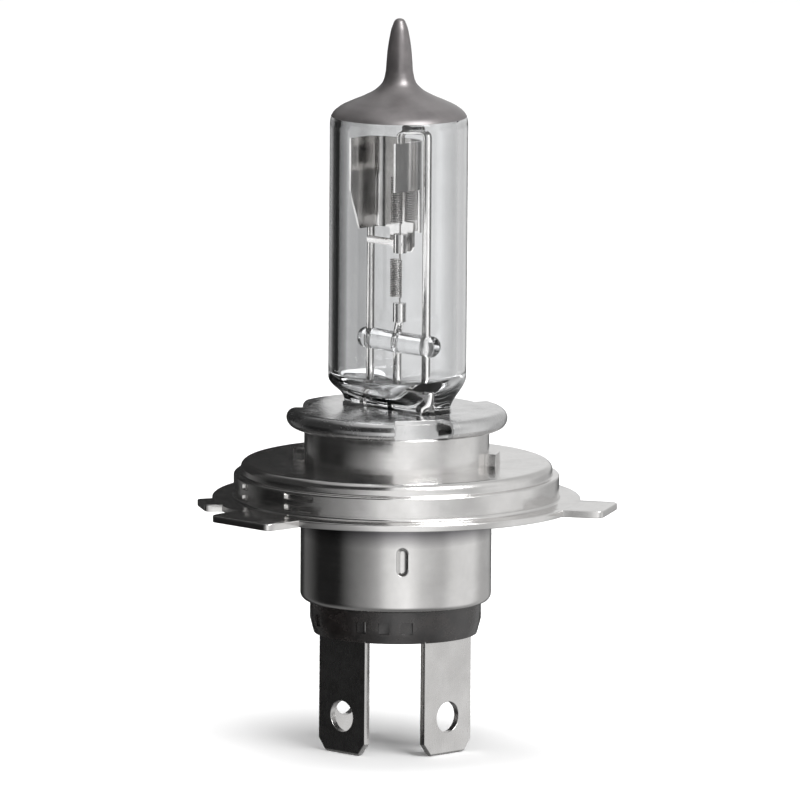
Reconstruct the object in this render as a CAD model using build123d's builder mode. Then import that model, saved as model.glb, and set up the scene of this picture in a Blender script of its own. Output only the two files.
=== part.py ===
from build123d import *
import os
from math import cos, radians, sin

os.makedirs("parts", exist_ok=True)

# Twin-filament headlight bulb on a three-blade prefocus cap.
# Millimetres. +Z runs along the bulb's axis to the glass tip and -Y points at the reference lug.
# The origin is where the axis crosses the reference plane, the front face of the ring's lugs.

slip = 0.05  # gap round a piece that slides into another
weld_gap = 0.02  # gap between two pieces that are welded or pressed together
pinch_gap = 0.1  # between the glass pinch and the slot it drops through

# Focusing ring, one stamping
ring_sheet = 0.8
pilot_radius = 19.0  # the wall that centres the bulb in its lamp
pilot_height = 2.8
crown_step = 0.8  # the crown's wall stands this far inside the pilot wall
boss_height = 4.2
crown_round = 0.8
step_round = 0.25
pilot_foot_round = 0.3
flange_width = 2.5
lug_length = 4.3  # from the flange's rim
lug_width = 8.0
reference_lug_width = 10.0
reference_lug_angle = -90
lug_round = 0.7
index_ear_length = 1.8
index_ear_width = 5.2
index_ear_angle = -122.5
slot_depth = 0.45
slot_height = 0.6
slot_levels = (0.9, 2.15)  # middles of the two rows of pressed slots
slot_places = ((-82, 4.0), (-113, 1.6))  # angle and width
weld_tab_angles = (35, 215)
weld_tab_span = 16  # degrees
weld_tab_height = 1.4
weld_tab_depth = 1.3

# Base shell, a drawn tube
shell_wall = 0.5
skirt_radius = 11.15
neck_radius = 10.8
neck_top = 8.2
skirt_foot = -12.1
shell_lip_radius = 10.05
shell_foot_round = 0.9
crimp_angles = (-41, 79, 199)
crimp_length = 3.2
crimp_width = 1.2
crimp_depth = 0.35
crimp_height = -6.0

# Pinch holder, a sprung cup that grips the flat pinch
holder_sheet = 0.5
holder_top = 10.5
bead_radius = 1.1
bead_centre = 11.8
bead_start = -110  # degrees, where the rolled edge ends
bead_turn = 200
holder_gap_span = 32  # degrees
holder_gap_angles = (-30, 90, 210)
holder_skirt_foot = 5.0
claw_sheet = 0.4
claw_width = 3.6
claw_place = 4.6
claw_height = 0.35
tongue_width = 5.0
tongue_foot = 3.0
nub_radius = 0.95
nub_rise = 0.5
nub_place = 4.6

# Glass envelope
tube_radius = 8.05
glass_wall = 1.1
tube_foot = 13.9
dome_foot = 44.1
shoulder_radius = 7.0
shoulder_height = 45.6
cone_radius = 3.4
cone_height = 47.3
stem_radius = 1.65
stem_height = 49.6
stem_top_radius = 1.4
stem_top = 52.6
tip_height = 56.3
pinch_width = 14.5
pinch_thickness = 4.3
pinch_round = 1.2
pinch_top = 10.95
pinch_foot = -1.0
bulb_floor = 12.2
bulb_floor_rise = 2.6

# Leads and foils
lead_radius = 0.5
lead_spacing = 4.6
foil_width = 3.2
foil_thickness = 0.1
foil_offset = 0.35  # foil face, from the leads' plane
foil_foot = 3.5
foil_top = 10.0
foil_lap = 2.0
outer_lead_radius = 0.4
outer_lead_flat = 0.1  # depth of the flat welded to the foil
outer_lead_height = -3.0
outer_lead_run = 3.0
outer_lead_shift = 1.2  # each crossing lead passes this far to the side of the axis
bend_radius = 0.9
jog_length = 1.2  # the middle lead's sideways step to the filament

# Filaments
coil_radius = 0.62
filament_wire = 0.13
filament_y = -0.3
low_turns = 13
low_pitch = 0.42
low_foot = 32.3
high_turns = 11
high_pitch = 0.41
high_foot = 23.6
leg_length = 1.5
bead_ratio = 1.25  # melted bead at each coil end, against the wire
sleeve_wall = 0.28
sleeve_length = 2.2
sleeve_lap = 0.9
arm_height = 30.0
arm_radius = 0.45
arm_end = 1.3
hook_height = 43.7
hook_radius = 1.0

# Glare shield
shield_sheet = 0.3
shield_right = 3.5
shield_back = 1.15
shield_front = -4.0
shield_foot = 31.5
shield_top = 42.3
shield_round = 1.2
short_cheek_foot = 36.6
shield_weld_flat = 0.08  # how far the shield's edge is let into the lead
tongue_low = 28.9
tongue_half = 1.9
tongue_lap = 0.5
tongue_round = 0.8
cheek_cut = 1.5
cheek_cut_height = 4.5

# Quartz bridge
bridge_length = 12.2
bridge_radius = 1.25
bridge_height = 18.3
bridge_round = 0.8

# Insulator
insulator_top = -5.0
insulator_radius = 10.0
insulator_chamfer_top = -14.2
insulator_foot = -15.9
insulator_foot_radius = 9.55
core_radius = 4.8
core_floor = -12.0
rear_recess_radius = 5.2
rear_recess_depth = 0.6
pocket_width = 1.3
pocket_height = 1.4
pocket_depth = 0.5
pocket_middle = -14.05
pocket_groups = (-53, -127, 53, 127)
pocket_pitch = 16

# Blades
blade_thickness = 0.8
blade_width = 7.6
blade_place = 8.35  # middle of the blade's thickness, from the axis
blade_end = -29.4
blade_corner = 1.2
blade_corner_rise = 1.5
blade_lead_in = 0.25
blade_hole_radius = 1.8
blade_hole_height = -25.0
head_width = 9.2
head_foot = -9.0
head_top = -7.2
tail_width = 3.0
tail_top = -1.6

skirt_bore = skirt_radius - shell_wall
neck_bore = neck_radius - shell_wall
flange_radius = pilot_radius + flange_width
lug_reach = flange_radius + lug_length
index_ear_reach = flange_radius + index_ear_length
crown_radius = pilot_radius - crown_step
shoulder_seat = boss_height - ring_sheet
low_top = low_foot + low_turns * low_pitch
high_top = high_foot + high_turns * high_pitch
shield_left = -lead_spacing + lead_radius - shield_weld_flat
lead_places = {"common": -lead_spacing, "high_beam": 0.0, "low_beam": lead_spacing}


def save(name, built):
    """Labels a finished piece and writes it as one STEP file."""
    built.part.label = name
    export_step(built.part, f"parts/{name}.step")


def sector_outline(inner, outer, middle, span):
    """Draws an annular sector's outline in the line block that is open."""
    start = middle - span / 2
    rim = CenterArc((0, 0), outer, start, span)
    root = CenterArc((0, 0), inner, start, span)
    Line(rim @ 0, root @ 0)
    Line(rim @ 1, root @ 1)


def rim(piece, radius, height):
    """The piece's round edge nearest to a radius, at a height."""
    circles = piece.edges().filter_by(GeomType.CIRCLE)
    level = circles.filter_by_position(Axis.Z, height - slip, height + slip)
    return level.sort_by(lambda edge: abs(edge.radius - radius))[0]


def upright(angle, radius, height=0.0):
    """A plane facing outwards at a radius: its x runs round the axis and its y runs up."""
    turn = radians(angle)
    return Plane(
        origin=(radius * cos(turn), radius * sin(turn), height),
        x_dir=(-sin(turn), cos(turn), 0),
        z_dir=(cos(turn), sin(turn), 0),
    )


# ---- focusing ring ----
with BuildPart() as focusing_ring:
    ring_bore = neck_radius + weld_gap
    with BuildSketch(Plane.XZ):
        with BuildLine():
            Polyline(
                (ring_bore, boss_height),
                (crown_radius, boss_height),
                (crown_radius, pilot_height),
                (pilot_radius, pilot_height),
                (pilot_radius, 0),
                (flange_radius, 0),
                (flange_radius, -ring_sheet),
                (pilot_radius - ring_sheet, -ring_sheet),
                (pilot_radius - ring_sheet, pilot_height - ring_sheet),
                (crown_radius - ring_sheet, pilot_height - ring_sheet),
                (crown_radius - ring_sheet, shoulder_seat),
                (ring_bore, shoulder_seat),
                close=True,
            )
        make_face()
    revolve(axis=Axis.Z)
    fillet(rim(focusing_ring, crown_radius, boss_height), crown_round)
    fillet(rim(focusing_ring, pilot_radius, pilot_height), step_round)
    fillet(rim(focusing_ring, pilot_radius, 0), pilot_foot_round)
    with BuildSketch(Plane.XY.offset(-ring_sheet)):
        lug_root = pilot_radius - ring_sheet / 2
        for turn in (0, 120, 240):
            width = reference_lug_width if turn == 0 else lug_width
            with PolarLocations((lug_root + lug_reach) / 2, 1, reference_lug_angle + turn):
                RectangleRounded(lug_reach - lug_root, width, lug_round)
        with PolarLocations((lug_root + index_ear_reach) / 2, 1, index_ear_angle):
            RectangleRounded(index_ear_reach - lug_root, index_ear_width, lug_round)
        Circle(pilot_radius - ring_sheet, mode=Mode.SUBTRACT)
    extrude(amount=ring_sheet)
    for angle, width in slot_places:
        for level in slot_levels:
            with BuildSketch(upright(angle, pilot_radius - slot_depth, level)):
                Rectangle(width, slot_height)
            extrude(amount=2 * slot_depth, mode=Mode.SUBTRACT)
    with BuildSketch(Plane.XY.offset(boss_height)):
        for angle in weld_tab_angles:
            with BuildLine():
                sector_outline(ring_bore, ring_bore + weld_tab_depth, angle, weld_tab_span)
            make_face()
    extrude(amount=weld_tab_height)
save("focusing_ring", focusing_ring)

# ---- base shell ----
with BuildPart() as base_shell:
    with BuildSketch(Plane.XZ):
        with BuildLine():
            Polyline(
                (neck_radius, neck_top),
                (neck_radius, shoulder_seat),
                (skirt_radius, shoulder_seat),
                (skirt_radius, skirt_foot),
                (shell_lip_radius, skirt_foot),
                (shell_lip_radius, skirt_foot + shell_wall),
                (skirt_bore, skirt_foot + shell_wall),
                (skirt_bore, shoulder_seat - shell_wall),
                (neck_bore, shoulder_seat - shell_wall),
                (neck_bore, neck_top),
                close=True,
            )
        make_face()
    revolve(axis=Axis.Z)
    fillet(rim(base_shell, skirt_radius, skirt_foot), shell_foot_round)
    for angle in crimp_angles:
        with BuildSketch(upright(angle, skirt_bore - crimp_depth, crimp_height)):
            SlotOverall(crimp_length, crimp_width, rotation=90)
        extrude(amount=crimp_depth + shell_wall / 2)
    for angle in crimp_angles:
        with BuildSketch(upright(angle, skirt_radius - crimp_depth, crimp_height)):
            SlotOverall(crimp_length, crimp_width, rotation=90)
        extrude(amount=crimp_depth + shell_wall, mode=Mode.SUBTRACT)
save("base_shell", base_shell)

# ---- pinch holder ----
claw_face = pinch_thickness / 2 + weld_gap
with BuildPart() as pinch_holder:
    with BuildSketch(Plane.XZ):
        bead_height = holder_top - bead_radius
        with BuildLine():
            outside = CenterArc((bead_centre, bead_height), bead_radius, bead_start, bead_turn)
            bead_bore = bead_radius - holder_sheet
            inside = CenterArc((bead_centre, bead_height), bead_bore, bead_start, bead_turn)
            Line(outside @ 0, inside @ 0)
            Polyline(
                outside @ 1,
                (0, holder_top),
                (0, holder_top - holder_sheet),
                inside @ 1,
            )
        make_face()
    revolve(axis=Axis.Z)
    with BuildSketch(Plane.XY.offset(holder_top - 2 * bead_radius)):
        for angle in holder_gap_angles:
            with BuildLine():
                sector_outline(neck_bore, bead_centre + 2 * bead_radius, angle, holder_gap_span)
            make_face()
    extrude(amount=2 * bead_radius, mode=Mode.SUBTRACT)
    with BuildSketch(Plane.XY.offset(holder_skirt_foot)):
        Circle(neck_bore - weld_gap)
        Circle(neck_bore - weld_gap - holder_sheet, mode=Mode.SUBTRACT)
    extrude(amount=holder_top - holder_sheet - holder_skirt_foot)
    with BuildSketch(Plane.XY.offset(holder_top - holder_sheet)):
        RectangleRounded(pinch_width + 2 * slip, pinch_thickness + 2 * pinch_gap, pinch_round)
    extrude(amount=holder_sheet, mode=Mode.SUBTRACT)
    for side in (-1, 1):
        middle = side * (claw_face + claw_sheet / 2)
        with BuildSketch(Plane.XY.offset(holder_top - holder_sheet)):
            with Locations((claw_place, middle), (-claw_place, middle)):
                Rectangle(claw_width, claw_sheet)
        extrude(amount=holder_sheet + claw_height)
        with BuildSketch(Plane.XY.offset(tongue_foot)):
            with Locations((0, middle)):
                Rectangle(tongue_width, claw_sheet)
        extrude(amount=holder_top - tongue_foot)
    with BuildSketch(Plane.XZ):
        with Locations((0, nub_place)):
            Circle(nub_radius + slip)
    extrude(amount=pinch_thickness, both=True, mode=Mode.SUBTRACT)
save("pinch_holder", pinch_holder)

# ---- foils ----
foils = {}
for circuit, place in lead_places.items():
    with BuildPart() as foil:
        with BuildSketch(Plane.XY.offset(foil_foot)):
            with Locations((place, -foil_offset - foil_thickness / 2)):
                Rectangle(foil_width, foil_thickness)
        extrude(amount=foil_top - foil_foot)
    foils[circuit] = foil
    save(f"{circuit}_foil", foil)


def wire_route(points, bend):
    """Draws a wire's middle line, straight runs joined by arcs, in the line block that is open."""
    if len(points) > 2:
        FilletPolyline(*points, radius=bend)
    else:
        Line(*points)


# ---- leads inside the glass ----
lead_foot = foil_top - foil_lap
lead_tip = high_foot - leg_length + sleeve_lap - sleeve_length / 2
hook_tip = low_top + leg_length - sleeve_lap + sleeve_length / 2
lead_routes = {
    "common": [(-lead_spacing, 0, lead_foot), (-lead_spacing, 0, shield_top)],
    "high_beam": [
        (0, 0, lead_foot),
        (0, 0, lead_tip - 2 * jog_length),
        (coil_radius, filament_y, lead_tip - jog_length),
        (coil_radius, filament_y, lead_tip),
    ],
    "low_beam": [
        (lead_spacing, 0, lead_foot),
        (lead_spacing, 0, hook_height),
        (coil_radius, filament_y, hook_height),
        (coil_radius, filament_y, hook_tip),
    ],
}
lead_bends = {"common": 0, "high_beam": bend_radius, "low_beam": hook_radius}
inner_leads = {}
for circuit, route in lead_routes.items():
    with BuildPart() as lead:
        with BuildLine() as middle_line:
            wire_route(route, lead_bends[circuit])
        with BuildSketch(Plane(origin=middle_line.line @ 0, z_dir=middle_line.line % 0)):
            Circle(lead_radius)
        sweep(path=middle_line.line)
        with BuildSketch(Plane.XY.offset(lead_foot)):
            with Locations((0, -foil_offset - lead_radius)):
                Rectangle(pinch_width, 2 * lead_radius)
        extrude(amount=foil_top - lead_foot, mode=Mode.SUBTRACT)
    inner_leads[circuit] = lead
    save(f"{circuit}_lead", lead)

# ---- leads from the pinch to the blades ----
blade_inner_face = blade_place - blade_thickness / 2
outer_y = -foil_offset + outer_lead_radius - outer_lead_flat
outer_top = foil_foot + foil_lap
outer_routes = {
    "common": [
        (-lead_spacing, outer_y, outer_top),
        (-lead_spacing, outer_y, outer_lead_height),
        (-blade_inner_face, outer_y, outer_lead_height),
    ],
    "high_beam": [
        (0, outer_y, outer_top),
        (0, outer_y, outer_lead_height),
        (outer_lead_run, outer_lead_shift, outer_lead_height),
        (blade_inner_face, outer_lead_shift, outer_lead_height),
    ],
    "low_beam": [
        (lead_spacing, outer_y, outer_top),
        (lead_spacing, outer_y, outer_lead_height),
        (outer_lead_shift, -lead_spacing, outer_lead_height),
        (outer_lead_shift, -blade_inner_face, outer_lead_height),
    ],
}
outer_leads = {}
for circuit, route in outer_routes.items():
    with BuildPart() as lead:
        with BuildLine() as middle_line:
            wire_route(route, bend_radius)
        with BuildSketch(Plane(origin=middle_line.line @ 0, z_dir=middle_line.line % 0)):
            Circle(outer_lead_radius)
        sweep(path=middle_line.line)
        with BuildSketch(Plane.XY.offset(foil_foot)):
            with Locations((0, -foil_offset - lead_radius)):
                Rectangle(pinch_width, 2 * lead_radius)
        extrude(amount=outer_top - foil_foot, mode=Mode.SUBTRACT)
    outer_leads[circuit] = lead
    save(f"{circuit}_outer_lead", lead)

# ---- glass envelope ----
with BuildPart() as glass_envelope:
    with BuildSketch(Plane.XZ):
        with BuildLine():
            wall = Line((tube_radius, tube_foot), (tube_radius, dome_foot))
            shoulder = TangentArc(wall @ 1, (shoulder_radius, shoulder_height), tangent=(0, 1))
            cone = Line(shoulder @ 1, (cone_radius, cone_height))
            neck = Spline(
                cone @ 1,
                (stem_radius, stem_height),
                tangents=(cone % 1, (0, 1)),
            )
            stem = Line(neck @ 1, (stem_top_radius, stem_top))
            tip = Spline(stem @ 1, (0, tip_height), tangents=(stem % 1, (-1, 0)))
            Polyline(tip @ 1, (0, tube_foot), wall @ 0)
        make_face()
    revolve(axis=Axis.Z)
    with BuildSketch(Plane.XY.offset(pinch_top)):
        RectangleRounded(pinch_width, pinch_thickness, pinch_round)
    with BuildSketch(Plane.XY.offset(tube_foot)):
        Circle(tube_radius)
    loft()
    with BuildSketch(Plane.XY.offset(pinch_foot)):
        RectangleRounded(pinch_width, pinch_thickness, pinch_round)
    extrude(amount=pinch_top - pinch_foot)
    with BuildSketch(Plane.XZ):
        with Locations((0, nub_place)):
            Circle(nub_radius)
    extrude(amount=pinch_thickness / 2 + nub_rise, both=True)
    with BuildSketch(Plane.XZ):
        bore = tube_radius - glass_wall
        cavity_foot = bulb_floor + bulb_floor_rise
        with BuildLine():
            side = Line((bore, cavity_foot), (bore, dome_foot))
            roof = TangentArc(
                side @ 1, (shoulder_radius - glass_wall, shoulder_height - glass_wall), tangent=(0, 1)
            )
            Polyline(roof @ 1, (cone_radius - glass_wall, cone_height - glass_wall), (0, stem_height))
            floor = EllipticalCenterArc(
                (0, cavity_foot), bore, bulb_floor_rise, start_angle=270, arc_size=90
            )
            Line((0, stem_height), floor @ 0)
        make_face()
    revolve(axis=Axis.Z, mode=Mode.SUBTRACT)
    for circuit in lead_places:
        add(inner_leads[circuit].part, mode=Mode.SUBTRACT)
        add(outer_leads[circuit].part, mode=Mode.SUBTRACT)
        add(foils[circuit].part, mode=Mode.SUBTRACT)
save("glass_envelope", glass_envelope)

# ---- quartz bridge ----
with BuildPart() as quartz_bridge:
    with BuildSketch(Plane.YZ.offset(-bridge_length / 2)):
        with Locations((0, bridge_height)):
            Circle(bridge_radius)
    extrude(amount=bridge_length)
    fillet(quartz_bridge.edges().filter_by(GeomType.CIRCLE), bridge_round)
    for lead in inner_leads.values():
        add(lead.part, mode=Mode.SUBTRACT)
save("quartz_bridge", quartz_bridge)


# ---- filaments ----
filament_sizes = {
    "low_beam": (low_foot, low_top, low_pitch),
    "high_beam": (high_foot, high_top, high_pitch),
}
filaments = {}
for circuit, (foot, top, pitch) in filament_sizes.items():
    with BuildPart() as filament:
        with BuildLine(Plane((0, filament_y, foot))) as coil:
            Helix(pitch, top - foot, coil_radius)
        with BuildSketch(Plane(origin=coil.line @ 0, z_dir=coil.line % 0)):
            Circle(filament_wire)
        sweep(path=coil.line, is_frenet=True)
        for start, direction in ((foot, -1), (top, 1)):
            with Locations((coil_radius, filament_y, start)):
                Sphere(filament_wire * bead_ratio)
            with BuildSketch(Plane.XY.offset(start)):
                with Locations((coil_radius, filament_y)):
                    Circle(filament_wire)
            extrude(amount=direction * leg_length)
    filaments[circuit] = filament
    save(f"{circuit}_filament", filament)

# ---- common arm ----
with BuildPart() as common_arm:
    with BuildSketch(Plane.YZ.offset(-lead_spacing)):
        with Locations((filament_y, arm_height)):
            Circle(arm_radius)
    extrude(amount=lead_spacing + arm_end)
    add(inner_leads["common"].part, mode=Mode.SUBTRACT)
    add(filaments["low_beam"].part, mode=Mode.SUBTRACT)
    add(filaments["high_beam"].part, mode=Mode.SUBTRACT)
save("common_arm", common_arm)

# ---- crimp sleeves ----
sleeve_radius = lead_radius + sleeve_wall
with BuildPart() as crimp_sleeves:
    for foot in (
        hook_tip - sleeve_length / 2,
        arm_height,
        arm_height - sleeve_length / 2,
        lead_tip - sleeve_length / 2,
    ):
        on_arm = abs(foot + sleeve_length / 4 - arm_height) < sleeve_length / 2
        with BuildSketch(Plane.XY.offset(foot)):
            with Locations((coil_radius, filament_y)):
                Circle(sleeve_radius)
        extrude(amount=sleeve_length / 2 if on_arm else sleeve_length)
    add(common_arm.part, mode=Mode.SUBTRACT)
    add(filaments["low_beam"].part, mode=Mode.SUBTRACT)
    add(filaments["high_beam"].part, mode=Mode.SUBTRACT)
    add(inner_leads["low_beam"].part, mode=Mode.SUBTRACT)
    add(inner_leads["high_beam"].part, mode=Mode.SUBTRACT)
save("crimp_sleeves", crimp_sleeves)

# ---- glare shield ----
with BuildPart() as glare_shield:
    left = shield_left + shield_sheet / 2
    right = shield_right - shield_sheet / 2
    back = shield_back - shield_sheet / 2
    with BuildSketch(Plane.XY.offset(shield_foot)):
        with BuildLine():
            FilletPolyline(
                (left, shield_front),
                (left, back),
                (right, back),
                (right, shield_front),
                radius=shield_round,
            )
        trace(line_width=shield_sheet)
    extrude(amount=shield_top - shield_foot)
    with BuildSketch(Plane.XZ.offset(-shield_back)):
        with Locations(((left + right) / 2, (tongue_low + shield_foot) / 2 + tongue_lap)):
            tongue_length = shield_foot - tongue_low + 2 * tongue_lap
            RectangleRounded(2 * tongue_half, tongue_length, tongue_round)
    extrude(amount=shield_sheet)
    with BuildSketch(Plane.YZ.offset(-tube_radius)):
        with BuildLine():
            Polyline(
                (shield_front - shield_sheet, shield_foot - slip),
                (shield_front - shield_sheet, shield_foot + cheek_cut_height),
                (shield_front, shield_foot + cheek_cut_height),
                (shield_front + cheek_cut, shield_foot - slip),
                close=True,
            )
        make_face()
    extrude(amount=2 * tube_radius, mode=Mode.SUBTRACT)
    with BuildSketch(Plane.XY.offset(shield_foot - slip)):
        with Locations((right, shield_front + shield_sheet)):
            cheek_reach = shield_back - shield_front - shield_round - shield_sheet
            Rectangle(2 * shield_round, 2 * cheek_reach)
    extrude(amount=short_cheek_foot - shield_foot, mode=Mode.SUBTRACT)
    add(inner_leads["common"].part, mode=Mode.SUBTRACT)
save("glare_shield", glare_shield)


# ---- blades ----
half_body = blade_width / 2
half_head = head_width / 2
half_tail = tail_width / 2
blade_angles = {"low_beam": -90, "high_beam": 0, "common": 180}
for circuit, angle in blade_angles.items():
    with BuildPart() as blade:
        with BuildSketch(upright(angle, blade_inner_face)):
            with BuildLine():
                right = Polyline(
                    (half_body - blade_corner, blade_end),
                    (half_body, blade_end + blade_corner_rise),
                    (half_body, head_foot),
                    (half_head, head_foot),
                    (half_head, head_top),
                    (half_tail, head_top),
                    (half_tail, tail_top),
                )
                mirror(right, about=Plane.YZ)
                Line((-half_tail, tail_top), (half_tail, tail_top))
                Line((blade_corner - half_body, blade_end), (half_body - blade_corner, blade_end))
            make_face()
            with Locations((0, blade_hole_height)):
                Circle(blade_hole_radius, mode=Mode.SUBTRACT)
        extrude(amount=blade_thickness)
        end_edges = blade.edges().group_by(Axis.Z)[0].filter_by(lambda e: e.length > blade_thickness)
        chamfer(end_edges, blade_lead_in)
    save(f"{circuit}_blade", blade)

# ---- insulator ----
with BuildPart() as insulator:
    seat = skirt_foot + shell_wall
    with BuildSketch(Plane.XZ):
        with BuildLine():
            Polyline(
                (core_radius, insulator_top),
                (skirt_bore - slip, insulator_top),
                (skirt_bore - slip, seat),
                (insulator_radius, seat),
                (insulator_radius, insulator_chamfer_top),
                (insulator_foot_radius, insulator_foot),
                (rear_recess_radius, insulator_foot),
                (rear_recess_radius, insulator_foot + rear_recess_depth),
                (0, insulator_foot + rear_recess_depth),
                (0, core_floor),
                (core_radius, core_floor),
                close=True,
            )
        make_face()
    revolve(axis=Axis.Z)
    for angle in blade_angles.values():
        for width, foot, top in (
            (blade_width, insulator_foot, head_foot),
            (head_width, head_foot, insulator_top),
        ):
            with BuildSketch(Plane.XY.offset(foot)):
                with PolarLocations(blade_place, 1, angle):
                    Rectangle(blade_thickness + 2 * slip, width + 2 * slip)
            extrude(amount=top - foot, mode=Mode.SUBTRACT)
    for angle in crimp_angles:
        with BuildSketch(Plane.XY.offset(crimp_height - crimp_length / 2 - slip)):
            with PolarLocations(skirt_bore, 1, angle):
                Rectangle(2 * (crimp_depth + slip), crimp_width + 2 * pinch_gap)
        extrude(amount=crimp_length, mode=Mode.SUBTRACT)
    for middle in pocket_groups:
        for step in (-1, 0, 1):
            face = upright(middle + step * pocket_pitch, insulator_radius - pocket_depth, pocket_middle)
            with BuildSketch(face):
                Rectangle(pocket_width, pocket_height)
            extrude(amount=2 * pocket_depth, mode=Mode.SUBTRACT)
save("insulator", insulator)
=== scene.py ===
from math import cos, pi, radians, sin

import bmesh
import bpy
import numpy as np
from mathutils import Matrix, Vector


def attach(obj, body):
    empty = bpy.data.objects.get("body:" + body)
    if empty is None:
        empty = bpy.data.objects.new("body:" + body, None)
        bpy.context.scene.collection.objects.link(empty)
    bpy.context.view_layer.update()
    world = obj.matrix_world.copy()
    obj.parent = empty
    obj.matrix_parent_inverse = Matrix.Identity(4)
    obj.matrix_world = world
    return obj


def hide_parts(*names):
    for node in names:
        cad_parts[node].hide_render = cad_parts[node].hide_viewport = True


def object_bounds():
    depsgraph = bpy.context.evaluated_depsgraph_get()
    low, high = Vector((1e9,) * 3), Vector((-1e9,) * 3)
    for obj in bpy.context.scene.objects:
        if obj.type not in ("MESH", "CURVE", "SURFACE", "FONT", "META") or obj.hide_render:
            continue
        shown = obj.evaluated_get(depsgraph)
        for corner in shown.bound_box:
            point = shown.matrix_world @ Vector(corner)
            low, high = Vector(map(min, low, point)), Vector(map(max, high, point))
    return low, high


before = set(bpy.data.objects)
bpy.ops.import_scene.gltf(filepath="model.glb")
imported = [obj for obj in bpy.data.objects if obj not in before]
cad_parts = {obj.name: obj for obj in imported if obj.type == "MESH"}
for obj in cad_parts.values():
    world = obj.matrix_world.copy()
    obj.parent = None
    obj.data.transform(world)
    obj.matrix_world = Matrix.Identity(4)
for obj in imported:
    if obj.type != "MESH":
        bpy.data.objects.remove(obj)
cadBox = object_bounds()
mm = 0.001
print("frame loaded:", len(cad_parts), "nodes")

# lengths in millimetres and angles in degrees, here and in every dictionary below
meshSettings = {
    "mergeWithin": 0.0005, "dropUnder": 0.0002, "flatWithin": 0.4, "copySmoothAngle": 32,
    "bevelSegments": 3, "bevelAngle": 35, "sameWithin": 0.001,
}


# Corner numbers of a grid's quads, row by row; each row's last point is joined to its first.
def gridQuads(rows, columns):
    index = np.arange(rows * columns).reshape(rows, columns)
    beside = np.roll(index, -1, axis=1)
    return np.stack((index[:-1], beside[:-1], beside[1:], index[1:]), axis=-1).reshape(-1, 4)


# A grid of points, rows by columns, becomes a piece; a row of equal points ends up as one pole.
def gridMesh(name, points, smoothAngle=40):
    mesh = bpy.data.meshes.new(name)
    mesh.from_pydata(points.reshape(-1, 3) * mm, [], gridQuads(*points.shape[:2]))
    tidyMesh(mesh, smoothAngle, False)
    return newPiece(name, mesh)


# Points closer than a limit become one, empty faces go, normals turn outwards, and an edge is
# shaded smooth where its faces meet at less than the given angle.
def tidyMesh(mesh, smoothAngle, joinFlats):
    work = bmesh.new()
    work.from_mesh(mesh)
    bmesh.ops.remove_doubles(work, verts=work.verts, dist=meshSettings["mergeWithin"] * mm)
    bmesh.ops.dissolve_degenerate(work, edges=work.edges, dist=meshSettings["dropUnder"] * mm)
    if joinFlats:
        flat = radians(meshSettings["flatWithin"])
        bmesh.ops.dissolve_limit(work, angle_limit=flat, verts=work.verts, edges=work.edges)
    bmesh.ops.recalc_face_normals(work, faces=work.faces)
    work.to_mesh(mesh)
    work.free()
    mesh.polygons.foreach_set("use_smooth", np.ones(len(mesh.polygons), dtype=bool))
    mesh.set_sharp_from_angle(angle=radians(smoothAngle))


# A mesh whose points are already in place, as an object at the origin that stays with the frame.
def newPiece(name, mesh):
    piece = bpy.data.objects.new(name, mesh)
    bpy.context.scene.collection.objects.link(piece)
    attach(piece, "root")
    return piece


# A CAD node's surface, merged, with every edge sharper than a limit rounded by a narrow bevel.
def finishedCopy(node, bevel, material):
    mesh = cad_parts[node].data.copy()
    mesh.materials.clear()
    mesh.materials.append(material)
    tidyMesh(mesh, meshSettings["copySmoothAngle"], True)
    piece = newPiece(node + "_finished", mesh)
    if bevel:
        rounding = piece.modifiers.new("edgeRounding", "BEVEL")
        rounding.width = bevel * mm
        rounding.segments = meshSettings["bevelSegments"]
        rounding.limit_method = "ANGLE"
        rounding.angle_limit = radians(meshSettings["bevelAngle"])
    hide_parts(node)


# Even steps once round, in radians, without the last one that would repeat the first.
def onceRound(columns):
    return np.linspace(0, 2 * pi, columns, endpoint=False)


# x = radius cos(angle), y = radius sin(angle), z = height, for whole grids of radius and height.
def roundAxis(radius, angle, height):
    x = radius * np.cos(angle)
    y = radius * np.sin(angle)
    return np.stack((x, y, np.broadcast_to(height, x.shape)), axis=-1)


# A smooth curve through a few points, evenly resampled: each span is a cubic whose end slopes are
# the mean of the neighbouring chords.
def smoothCurve(points, count):
    points = np.array(points, dtype=float)
    chord = np.linalg.norm(np.diff(points, axis=0), axis=1)
    knot = np.concatenate(([0], np.cumsum(chord)))
    slope = np.gradient(points, knot, axis=0)
    place = np.linspace(0, knot[-1], count)
    span = np.clip(np.searchsorted(knot, place, side="right") - 1, 0, len(chord) - 1)
    width = chord[span][:, None]
    s = (place - knot[span])[:, None] / width
    start, end = points[span], points[span + 1]
    startSlope, endSlope = slope[span] * width, slope[span + 1] * width
    return (
        (2 * s**3 - 3 * s**2 + 1) * start
        + (s**3 - 2 * s**2 + s) * startSlope
        + (3 * s**2 - 2 * s**3) * end
        + (s**3 - s**2) * endSlope
    )


# Which points of a section stand on the upright wall of a radius, as a column of true and false.
def onUpright(section, radius):
    return (np.abs(section[:, 0] - radius) < meshSettings["sameWithin"])[:, None]


# Points at a radius round a centre, evenly spaced from one angle to another in degrees.
def arcPoints(centre, radius, start, end, count):
    turn = np.radians(np.linspace(start, end, count))
    return [(centre[0] + radius * np.cos(t), centre[1] + radius * np.sin(t)) for t in turn]


# 3t^2 - 2t^3, where t runs from 0 at the low value to 1 at the high one and stops there.
def smoothStep(low, high, value):
    t = np.clip((value - low) / (high - low), 0, 1)
    return t * t * (3 - 2 * t)


# The signed turn from a middle, given in degrees, to each angle, kept within half a circle.
def turnFrom(angle, middle):
    return (angle - np.radians(middle) + pi) % (2 * pi) - pi


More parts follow.
